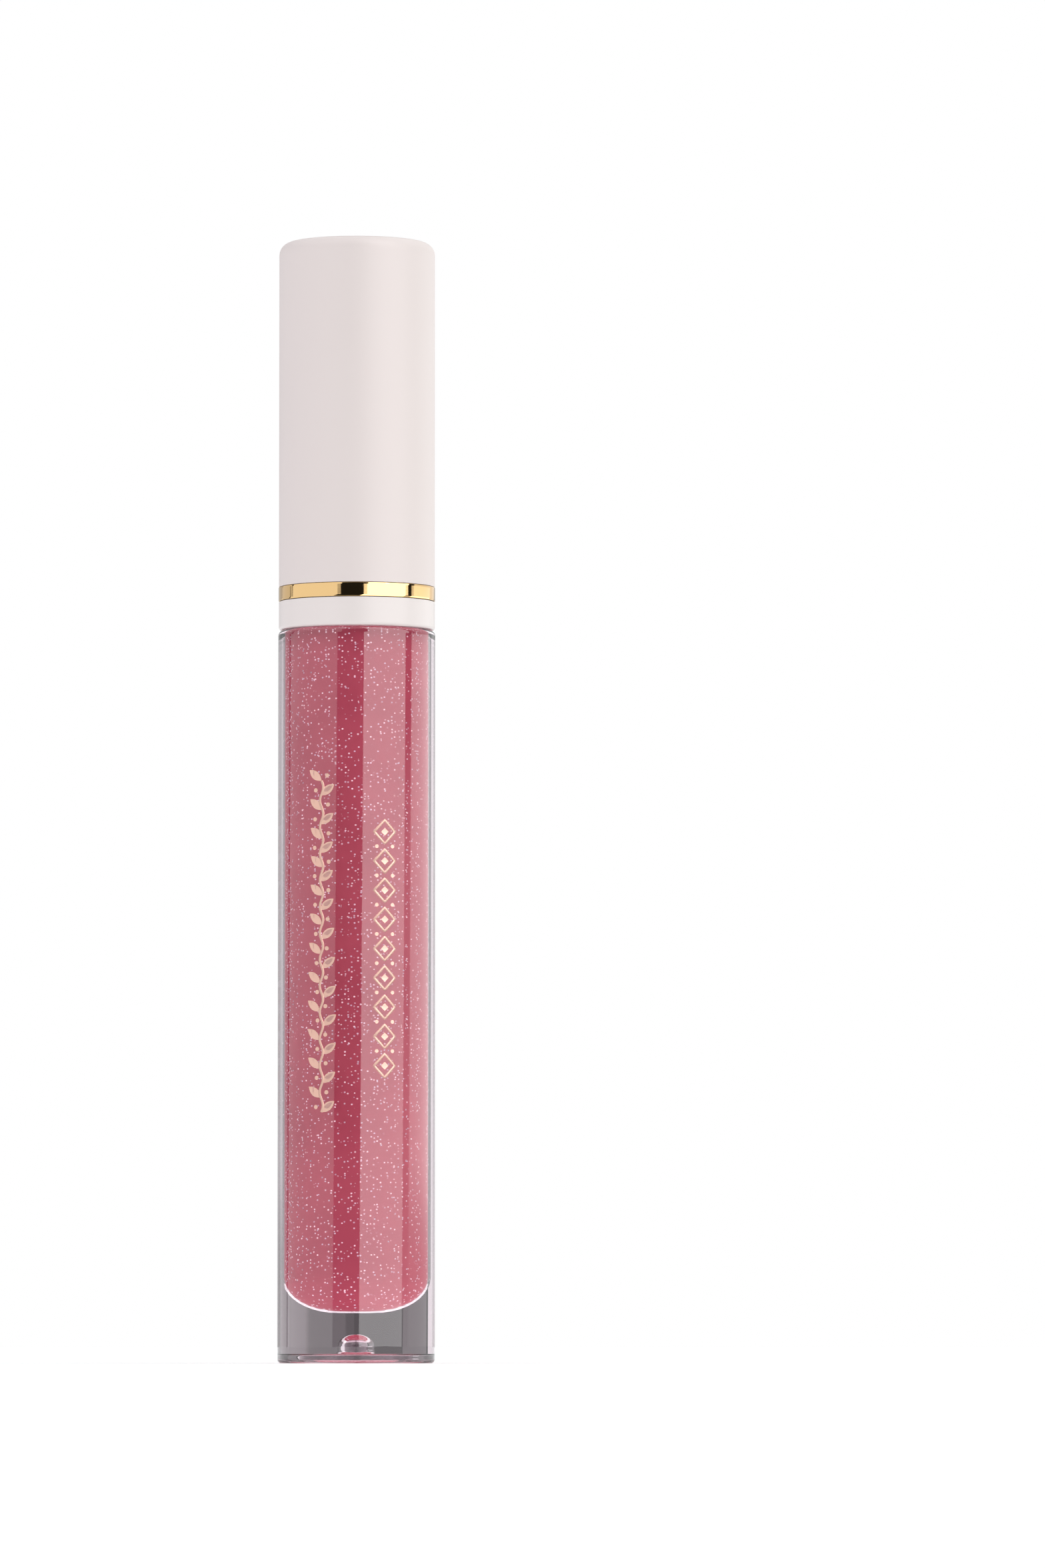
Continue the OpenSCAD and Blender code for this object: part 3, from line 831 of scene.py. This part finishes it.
def flock_skin(w, material):
    """The soft tip under its fibres: the frame's tip, remeshed and worked into wet hollows and lumps."""
    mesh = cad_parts["flocking"].data.copy()
    work = bmesh.new()
    work.from_mesh(mesh)
    bmesh.ops.remove_doubles(work, verts=work.verts, dist=0.001 * MM)
    work.to_mesh(mesh)
    work.free()
    piece = bpy.data.objects.new("flock_remesh", mesh)
    bpy.context.scene.collection.objects.link(piece)
    remesh = piece.modifiers.new("Even skin", "REMESH")
    remesh.mode = "VOXEL"
    remesh.voxel_size = w.voxel
    graph = bpy.context.evaluated_depsgraph_get()
    skin = bpy.data.meshes.new_from_object(piece.evaluated_get(graph))
    bpy.data.objects.remove(piece)
    core_r = CORE_HIGH.x
    tip_r = FLOCK_HIGH.x
    span = FLOCK_HIGH.z - FLOCK_LOW.z
    places = [v.co.copy() for v in skin.vertices]
    normals = [v.normal.copy() for v in skin.vertices]
    # The skin sinks 0.28 mm, give or take its lumps: less on the slanting face, and nothing beside the core
    for vertex, p, normal in zip(skin.vertices, places, normals):
        radius = math.hypot(p.x, p.y)
        outer = clamped((radius - core_r) / (tip_r - core_r) * 2 - 0.8)
        nose = clamped((FLOCK_LOW.z + 0.5 * MM + core_r - p.z) / (0.3 * span))
        face = clamped(-normal.y * 2.2 - 0.9)
        lump = noise.noise(p / (0.55 * MM)) * 0.6 + noise.noise(p / (0.22 * MM)) * 0.3
        depth = (0.28 + 0.2 * lump) * (1 - 0.85 * face) * max(outer, nose)
        vertex.co = p - normal * depth * MM
    skin.shade_smooth()
    skin.materials.clear()
    skin.materials.append(material)
    skin.name = "flock_skin"
    piece = bpy.data.objects.new("flock_skin", skin)
    bpy.context.scene.collection.objects.link(piece)
    return piece


def fibre_tree():
    """Fibres on the skin, drawn together into wet clumps."""
    tree, given, result = new_tree(
        "Flock fibres", "Seed", "Density", "Length", "Radius", "Clump", "Core Radius", "Face"
    )
    normal = add(tree, "GeometryNodeInputNormal")
    position = add(tree, "GeometryNodeInputPosition")
    flat = add(tree, "VectorMath:MULTIPLY", position, (1, 1, 0))
    facing = add(tree, "VectorMath:DOT_PRODUCT", flat, normal).outputs["Value"]
    away = add(tree, "VectorMath:LENGTH", flat).outputs["Value"]
    beyond = add(tree, "Math:GREATER_THAN", away, given["Core Radius"])
    outward = add(tree, "Math:GREATER_THAN", facing, 0.0)
    outside = add(tree, "Math:MULTIPLY", outward, beyond)
    front = add(tree, "SeparateXYZ", normal).outputs["Y"]
    side = add(tree, "Math:GREATER_THAN", front, given["Face"])
    here = add(tree, "Math:MULTIPLY", outside, side)
    spread = add(
        tree, "GeometryNodeDistributePointsOnFaces",
        {"Mesh": given["Geometry"], "Selection": here, "Density": given["Density"], "Seed": given["Seed"]}
    )
    scale = add(tree, "Math:DIVIDE", 1.0, given["Clump"])
    cells = add(tree, "TexVoronoi", {"Scale": scale}).outputs["Position"]
    pull = add(tree, "VectorMath:SUBTRACT", cells, position)
    pulled = add(tree, "VectorMath:SCALE", {0: pull, "Scale": scale})
    # Each fibre leans to the middle of its clump, strays a little of its own, and stands off the skin
    stray = add(
        tree, "FunctionNodeRandomValue",
        {0: (-0.35, -0.35, -0.5), 1: (0.35, 0.35, 0.2), "Seed": given["Seed"]}, data_type="FLOAT_VECTOR"
    )
    both = add(tree, "VectorMath:ADD", pulled, stray)
    lean = add(tree, "VectorMath:ADD", both, spread.outputs["Normal"])
    stand = add(tree, "FunctionNodeAlignRotationToVector", {"Vector": lean}, axis="Z")
    tip = add(tree, "Math:MULTIPLY", given["Radius"], 0.3)
    sizes = {"Radius Top": tip, "Radius Bottom": given["Radius"], "Depth": given["Length"]}
    blade = add(tree, "GeometryNodeMeshCone", {"Vertices": 5, "Side Segments": 2, **sizes}, fill_type="NGON")
    size = add(tree, "FunctionNodeRandomValue", {2: 0.6, 3: 1.15, "Seed": given["Seed"]}, data_type="FLOAT")
    planted = add(
        tree, "GeometryNodeInstanceOnPoints",
        {"Points": spread.outputs["Points"], "Instance": blade, "Rotation": stand, "Scale": size.outputs[1]}
    )
    smooth = add(tree, "GeometryNodeSetShadeSmooth", {"Geometry": planted})
    close_tree(tree, smooth, given, result)
    return tree


class GLOSSTUBE_OT_flock(Operator):
    """Works the flocked tip and plants its fibres"""

    bl_idname = "gloss_tube.flock"
    bl_label = "Flocked tip"

    def execute(self, context):
        w = context.scene.gloss_tube_wand
        material = wet_flock(w)
        skin = flock_skin(w, material)
        fibres = grown("flock_fibres", skin.data, fibre_tree(), {
            "Density": float(w.fibres), "Seed": w.seed, "Length": w.pile, "Radius": w.fibre,
            "Clump": w.clump, "Core Radius": CORE_HIGH.x + w.clear, "Face": w.bare, "Material": material,
        })
        settle(skin, "applicator", "wet_flock", "flocking")
        settle(fibres, "applicator", "wet_flock", "flocking")
        return {"FINISHED"}


def wrapped(tree, geometry, given):
    """Lays flat work on the barrel: X runs round it, Y up it and Z out of it."""
    position = add(tree, "GeometryNodeInputPosition")
    parts = add(tree, "SeparateXYZ", position).outputs
    turn = add(tree, "Math:DIVIDE", parts["X"], given["Barrel"])
    angle = add(tree, "Math:ADD", turn, given["Angle"])
    out = add(tree, "Math:ADD", parts["Z"], given["Barrel"])
    back = add(tree, "Math:MULTIPLY", out, -1.0)
    up = add(tree, "Math:ADD", parts["Y"], given["Foot"])
    flat = add(tree, "CombineXYZ", {1: back, 2: up})
    laid = add(tree, "VectorRotate", {"Vector": flat, "Angle": angle}, rotation_type="Z_AXIS")
    solid = add(tree, "GeometryNodeRealizeInstances", {"Geometry": geometry})
    return add(tree, "GeometryNodeSetPosition", {"Geometry": solid, "Position": laid})


def foil_leaf(tree, leaf_length, leaf_width, thickness):
    """A flat leaf, pointed at both ends, that starts at the origin and runs along X."""
    disc = add(tree, "GeometryNodeMeshCylinder", {"Vertices": 20, "Radius": 1.0, "Depth": thickness})
    position = add(tree, "GeometryNodeInputPosition")
    parts = add(tree, "SeparateXYZ", position).outputs
    along = add(tree, "Math:ADD", parts["X"], 1.0)
    half = add(tree, "Math:MULTIPLY", leaf_length, 0.5)
    x = add(tree, "Math:MULTIPLY", along, half)
    size = add(tree, "Math:ABSOLUTE", parts["Y"])
    pointed = add(tree, "Math:MULTIPLY", parts["Y"], size)
    y = add(tree, "Math:MULTIPLY", pointed, leaf_width)
    place = add(tree, "CombineXYZ", x, y, parts["Z"])
    return add(tree, "GeometryNodeSetPosition", {"Geometry": disc, "Position": place})


def pressed_line(tree, given, curve):
    """A line of foil along a curve, pressed flat."""
    edge = add(
        tree, "GeometryNodeCurvePrimitiveQuadrilateral",
        {"Width": given["Stroke"], "Height": given["Stroke"]}
    )
    line = add(tree, "GeometryNodeCurveToMesh", {"Curve": curve, "Profile Curve": edge, "Fill Caps": True})
    squeeze = add(tree, "Math:DIVIDE", given["Thickness"], given["Stroke"])
    press = add(tree, "CombineXYZ", 1.0, 1.0, squeeze)
    return add(tree, "GeometryNodeTransform", {"Geometry": line, "Scale": press})


def sprig_tree():
    """A waving stalk with leaves on alternate sides and a berry opposite each, wrapped on the barrel."""
    tree, given, result = new_tree(
        "Foil sprig", "Leaves", "Barrel", "Angle", "Foot", "Length", "Width", "Stroke", "Thickness"
    )
    end = add(tree, "CombineXYZ", {1: given["Length"]})
    line = add(tree, "GeometryNodeCurvePrimitiveLine", {"End": end})
    pitch = add(tree, "Math:DIVIDE", given["Length"], given["Leaves"])

    def waved(curve):
        """The line with a wave two leaves long."""
        position = add(tree, "GeometryNodeInputPosition")
        y = add(tree, "SeparateXYZ", position).outputs["Y"]
        phase = add(tree, "Math:DIVIDE", y, pitch)
        angle = add(tree, "Math:MULTIPLY", phase, math.pi)
        wave = add(tree, "Math:SINE", angle)
        swing = add(tree, "Math:MULTIPLY", given["Width"], 0.06)
        x = add(tree, "Math:MULTIPLY", wave, swing)
        shift = add(tree, "CombineXYZ", x)
        return add(tree, "GeometryNodeSetPosition", {"Geometry": curve, "Offset": shift})

    fine = add(tree, "Math:MULTIPLY", given["Leaves"], 8.0)
    stalk = waved(add(tree, "GeometryNodeResampleCurve", {"Curve": line, "Count": fine}))
    pressed = pressed_line(tree, given, stalk)

    nodes_on = add(tree, "Math:SUBTRACT", given["Leaves"], 1.0)
    spots = waved(add(tree, "GeometryNodeResampleCurve", {"Curve": line, "Count": nodes_on}))
    points = add(tree, "GeometryNodeCurveToPoints", {"Curve": spots, "Count": nodes_on}).outputs["Points"]
    index = add(tree, "GeometryNodeInputIndex")
    odd = add(tree, "Math:MODULO", index, 2.0)
    leaf_length = add(tree, "Math:MULTIPLY", given["Width"], 0.58)
    leaf_width = add(tree, "Math:MULTIPLY", given["Width"], 0.135)
    leaf = foil_leaf(tree, leaf_length, leaf_width, given["Thickness"])
    lean = add(tree, "MapRange", {"Value": odd, "To Min": math.radians(38), "To Max": math.radians(142)})
    turn = add(tree, "FunctionNodeAxisAngleToRotation", {"Axis": (0, 0, 1), "Angle": lean})
    leaves = add(tree, "GeometryNodeInstanceOnPoints", {"Points": points, "Instance": leaf, "Rotation": turn})

    berry_r = add(tree, "Math:MULTIPLY", given["Width"], 0.07)
    berry = add(
        tree, "GeometryNodeMeshCylinder", {"Vertices": 16, "Radius": berry_r, "Depth": given["Thickness"]}
    )
    reach = add(tree, "Math:MULTIPLY", given["Width"], 0.26)
    hang = add(tree, "CombineXYZ", reach)
    hung = add(tree, "GeometryNodeTransform", {"Geometry": berry, "Translation": hang})
    other = add(tree, "MapRange", {"Value": odd, "To Min": math.radians(140), "To Max": math.radians(40)})
    turn_other = add(tree, "FunctionNodeAxisAngleToRotation", {"Axis": (0, 0, 1), "Angle": other})
    berries = add(
        tree, "GeometryNodeInstanceOnPoints", {"Points": points, "Instance": hung, "Rotation": turn_other}
    )
    joined = add(tree, "GeometryNodeJoinGeometry", [pressed, leaves, berries])
    close_tree(tree, wrapped(tree, joined, given), given, result)
    return tree


def chain_tree():
    """Open lozenges in a row with a small solid one between, wrapped on the barrel."""
    tree, given, result = new_tree(
        "Foil lozenges", "Count", "Barrel", "Angle", "Foot", "Length", "Width", "Stroke", "Thickness"
    )
    pitch = add(tree, "Math:DIVIDE", given["Length"], given["Count"])
    tall = add(tree, "Math:MULTIPLY", pitch, 0.8)
    across = add(tree, "Math:SUBTRACT", given["Width"], given["Stroke"])
    half_tall = add(tree, "Math:MULTIPLY", tall, 0.5)
    outline = add(
        tree, "GeometryNodeCurvePrimitiveQuadrilateral",
        {"Width": across, "Bottom Height": half_tall, "Top Height": half_tall}, mode="KITE"
    )
    fine = add(tree, "GeometryNodeResampleCurve", {"Curve": outline, "Count": 32})
    lozenge = pressed_line(tree, given, fine)
    heart_r = add(tree, "Math:MULTIPLY", given["Width"], 0.16)
    heart = add(
        tree, "GeometryNodeMeshCylinder", {"Vertices": 4, "Radius": heart_r, "Depth": given["Thickness"]}
    )
    motif = add(tree, "GeometryNodeJoinGeometry", [lozenge, heart])
    half = add(tree, "Math:MULTIPLY", pitch, 0.5)
    start = add(tree, "CombineXYZ", {1: half})
    last = add(tree, "Math:SUBTRACT", given["Length"], half)
    end = add(tree, "CombineXYZ", {1: last})
    line = add(tree, "GeometryNodeCurvePrimitiveLine", {"Start": start, "End": end})
    points = add(
        tree, "GeometryNodeCurveToPoints", {"Curve": line, "Count": given["Count"]}
    ).outputs["Points"]
    motifs = add(tree, "GeometryNodeInstanceOnPoints", {"Points": points, "Instance": motif})
    between = add(tree, "Math:SUBTRACT", given["Count"], 1.0)
    gaps_end = add(tree, "Math:SUBTRACT", given["Length"], pitch)
    low = add(tree, "CombineXYZ", {1: pitch})
    high = add(tree, "CombineXYZ", {1: gaps_end})
    gaps = add(tree, "GeometryNodeCurvePrimitiveLine", {"Start": low, "End": high})
    gap_points = add(tree, "GeometryNodeCurveToPoints", {"Curve": gaps, "Count": between}).outputs["Points"]
    dot_r = add(tree, "Math:MULTIPLY", given["Stroke"], 0.75)
    dot = add(
        tree, "GeometryNodeMeshCylinder", {"Vertices": 16, "Radius": dot_r, "Depth": given["Thickness"]}
    )
    side = add(tree, "Math:MULTIPLY", given["Width"], 0.34)
    pair = []
    for sign in (-1.0, 1.0):
        x = add(tree, "Math:MULTIPLY", side, sign)
        shift = add(tree, "CombineXYZ", x)
        pair.append(add(tree, "GeometryNodeTransform", {"Geometry": dot, "Translation": shift}))
    dots = add(tree, "GeometryNodeJoinGeometry", pair)
    beads = add(tree, "GeometryNodeInstanceOnPoints", {"Points": gap_points, "Instance": dots})
    joined = add(tree, "GeometryNodeJoinGeometry", [motifs, beads])
    close_tree(tree, wrapped(tree, joined, given), given, result)
    return tree


class GLOSSTUBE_OT_foil(Operator):
    """Stamps the two foil ornaments on the barrel"""

    bl_idname = "gloss_tube.foil"
    bl_label = "Foil ornament"

    def execute(self, context):
        f = context.scene.gloss_tube_foil
        material = stamped_foil(f)
        shared = {
            "Barrel": BOTTLE_HIGH.x, "Stroke": f.stroke, "Thickness": 2 * f.thickness, "Material": material,
        }
        sprig = grown("foil_sprig", bpy.data.meshes.new("sprig"), sprig_tree(), {
            **shared, "Angle": f.sprig_angle, "Foot": f.sprig_low, "Length": f.sprig_length,
            "Width": f.sprig_width, "Leaves": f.leaf_pairs,
        })
        chain = grown("foil_lozenges", bpy.data.meshes.new("chain"), chain_tree(), {
            **shared, "Angle": f.chain_angle, "Foot": f.chain_low, "Length": f.chain_length,
            "Width": f.chain_width, "Count": f.lozenges,
        })
        for piece in (sprig, chain):
            settle(piece, "bottle", "gold_anodised")
        return {"FINISHED"}


class GLOSSTUBE_OT_inner_parts(Operator):
    """Gives the wiper, the gasket and the tip's core their finishes"""

    bl_idname = "gloss_tube.inner_parts"
    bl_label = "Wiper, gasket and core"

    def execute(self, context):
        finishes = {
            "wiper": moulded_plastic("wiper_ldpe", linear("F2EFEC"), 0.45, 0.015, 0.3, 0.25 * MM, 1.51),
            "gasket": foam_gasket(),
            "tip_core": moulded_plastic("tip_nylon", linear("E8DEDD"), 0.5, 0.02, 0.3, 0.2 * MM, 1.53),
        }
        for name, material in finishes.items():
            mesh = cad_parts[name].data
            mesh.materials.clear()
            mesh.materials.append(material)
        return {"FINISHED"}


def studio_world(s):
    """A white studio: tall softboxes left and right, paler ones behind, and a soft overall fill."""
    world = bpy.data.worlds.new("studio")
    world.use_nodes = True
    world.cycles.sampling_method = "NONE"
    tree = world.node_tree
    tree.nodes.clear()
    direction = add(tree, "TexCoord").outputs["Generated"]
    parts = add(tree, "SeparateXYZ", direction).outputs
    forward = add(tree, "Math:MULTIPLY", parts["Y"], -1.0)
    turn = add(tree, "Math:ARCTAN2", parts["X"], forward)
    azimuth = add(tree, "Math:DEGREES", turn)
    lift = add(tree, "Math:ARCSINE", parts["Z"])
    elevation = add(tree, "Math:DEGREES", lift)
    # The lights lean by so many degrees for each degree of height, and stand further round above the shoulder
    low_lift = add(tree, "Clamp", {"Value": elevation, "Min": -LIGHT_LEAN_TO, "Max": LIGHT_LEAN_TO})
    upright = add(tree, "Math:MULTIPLY_ADD", low_lift, -LIGHT_LEAN, azimuth)
    high = add(tree, "Math:GREATER_THAN", elevation, LIGHT_STEP_AT)
    place = add(tree, "Math:MULTIPLY_ADD", high, -LIGHT_STEP, upright)
    # Azimuth and elevation from and to, softness of the edge, all in degrees, then the radiance that a
    # reflection meets and the one that is seen through the clear plastic
    boxes = [
        (-119.1, -33.9, -91, 91, 1.0, s.left, 0.95),
        (5.0, 71.4, -91, 91, 1.2, s.right, 1.0),
        (31, 37, 6, 91, 2.0, 1.5, 0.0),
        (-151, -122.6, -91, 91, 1.0, 0.9, 0.2),
        (71.4, 83, -91, 3.4, 1.2, 0.9, 0.0),
        (83, 131, -91, 91, 3.0, 1.2, 0.2),
        (83, 131, 0.8, 4.4, 0.8, 1.5, 0.35),
        (131, 151, -91, 91, 6.0, 1.2, 0.24),
        (-190, -151, -91, 91, 2.0, 0.6, 0.1),
        (151, 190, -91, 91, 6.0, 0.6, 0.13),
        (-190, 190, 40, 91, 12.0, 0.8, 0.8),
        (-190, 190, -91, -8, 6.0, 0.0, 1.1),
    ]
    path = add(tree, "LightPath").outputs
    through = add(tree, "Math:GREATER_THAN", path["Transmission Depth"], 0.5)
    light = add(tree, "Value")
    light.outputs[0].default_value = s.base
    for left, right, low, top, edge, mirrored, behind in boxes:
        glow = add(tree, "MapRange", {"Value": through, "To Min": mirrored, "To Max": behind})
        for angle, start, end in ((place, left, right), (elevation, low, top)):
            soft = edge / 2
            on = {"Value": angle, "From Min": start - soft, "From Max": start + soft}
            off = {"Value": angle, "From Min": end + soft, "From Max": end - soft}
            sides = [add(tree, "MapRange", side, interpolation_type="SMOOTHSTEP") for side in (on, off)]
            part = add(tree, "Math:MULTIPLY", *sides)
            glow = add(tree, "Math:MULTIPLY", part, glow)
        light = add(tree, "Math:ADD", light, glow)
    # Matt surfaces are lit by one soft gradient from left to right
    across = add(tree, "MapRange", {"Value": parts["X"], "From Min": -1.0, "From Max": 1.0})
    fill = add(tree, "Mix", {0: across, 6: rgba(s.fill_left), 7: rgba(s.fill_right)}, data_type="RGBA")
    # The fill is stronger inside the clear wall, which makes up for the light that the wall turns back
    strength = add(tree, "MapRange", {"Value": through, "To Min": s.fill, "To Max": s.fill * s.inside})
    strong = add(tree, "VectorMath:SCALE", {0: fill.outputs[2], "Scale": strength})
    matt = add(tree, "Math:GREATER_THAN", path["Diffuse Depth"], 0.5)
    lit = add(tree, "Mix", {0: matt, 6: light, 7: strong}, data_type="RGBA")
    seen = add(tree, "Mix", {0: path["Is Camera Ray"], 6: lit.outputs[2], 7: (1, 1, 1, 1)}, data_type="RGBA")
    sky = add(tree, "Background", {"Color": seen.outputs[2]})
    add(tree, "OutputWorld", {"Surface": sky})
    return world


class GLOSSTUBE_OT_stage(Operator):
    """Sets up the pale floor, the soft studio light and the camera"""

    bl_idname = "gloss_tube.stage"
    bl_label = "Stage"

    def execute(self, context):
        scene = context.scene
        s = scene.gloss_tube_studio
        scene.world = studio_world(s)
        scene.view_settings.view_transform = "Standard"
        half = FLOOR_HALF
        corners = [(-half, -half, 0), (half, -half, 0), (half, half, 0), (-half, half, 0)]
        mesh = bpy.data.meshes.new("floor")
        mesh.from_pydata(corners, [], [(0, 1, 2, 3)])
        material, tree = new_finish(
            "floor_paper", Base_Color=rgba(s.floor), Roughness=1.0, Specular_IOR_Level=0.0,
            Emission_Color=rgba(s.floor), Emission_Strength=0.1
        )[:2]
        # Clear plastic shows the studio through it, and not the paper that it stands on
        paper, output = tree.nodes["Principled BSDF"], tree.nodes["Material Output"]
        through = add(tree, "LightPath").outputs["Transmission Depth"]
        unseen = add(tree, "Math:GREATER_THAN", through, 0.5)
        clear = add(tree, "BsdfTransparent")
        either = add(tree, "MixShader", unseen, paper, clear)
        wire(tree, output.inputs, Surface=either)
        mesh.materials.append(material)
        floor = bpy.data.objects.new("floor", mesh)
        scene.collection.objects.link(floor)
        lens = bpy.data.cameras.new("camera")
        lens.lens = LENS
        lens.clip_start = 0.01
        camera = bpy.data.objects.new("camera", lens)
        camera.location = CAMERA_PLACE
        camera.rotation_euler = (math.radians(CAMERA_TILT), 0, 0)
        scene.collection.objects.link(camera)
        scene.camera = camera
        return {"FINISHED"}


class GLOSSTUBE_PT_panel(Panel):
    """Every piece of the gloss tube, and its sizes and colours"""

    bl_label = "Gloss Tube"
    bl_idname = "GLOSSTUBE_PT_panel"
    bl_space_type = "VIEW_3D"
    bl_region_type = "UI"
    bl_category = "Gloss Tube"

    def draw(self, context):
        column = self.layout.column(align=True)
        for operator in OPERATORS:
            column.operator(operator.bl_idname)
        for name, group in SETTINGS.items():
            box = self.layout.box()
            box.label(text=group.__doc__)
            for title in group.__annotations__:
                box.prop(getattr(context.scene, name), title)


OPERATORS = [
    GLOSSTUBE_OT_stage, GLOSSTUBE_OT_bottle, GLOSSTUBE_OT_gloss, GLOSSTUBE_OT_foil, GLOSSTUBE_OT_cap_shell,
    GLOSSTUBE_OT_gold_band, GLOSSTUBE_OT_inner_cap, GLOSSTUBE_OT_stem, GLOSSTUBE_OT_flock,
    GLOSSTUBE_OT_inner_parts,
]


def register():
    for group in SETTINGS.values():
        bpy.utils.register_class(group)
    for name, group in SETTINGS.items():
        setattr(bpy.types.Scene, name, PointerProperty(type=group))
    for operator in OPERATORS + [GLOSSTUBE_PT_panel]:
        bpy.utils.register_class(operator)


def unregister():
    for operator in reversed(OPERATORS + [GLOSSTUBE_PT_panel]):
        bpy.utils.unregister_class(operator)
    for name, group in SETTINGS.items():
        delattr(bpy.types.Scene, name)
        bpy.utils.unregister_class(group)


def main():
    register()
    for operator in OPERATORS:
        name = operator.bl_idname.split(".")[1]
        getattr(bpy.ops.gloss_tube, name)()


if __name__ == "__main__":
    main()
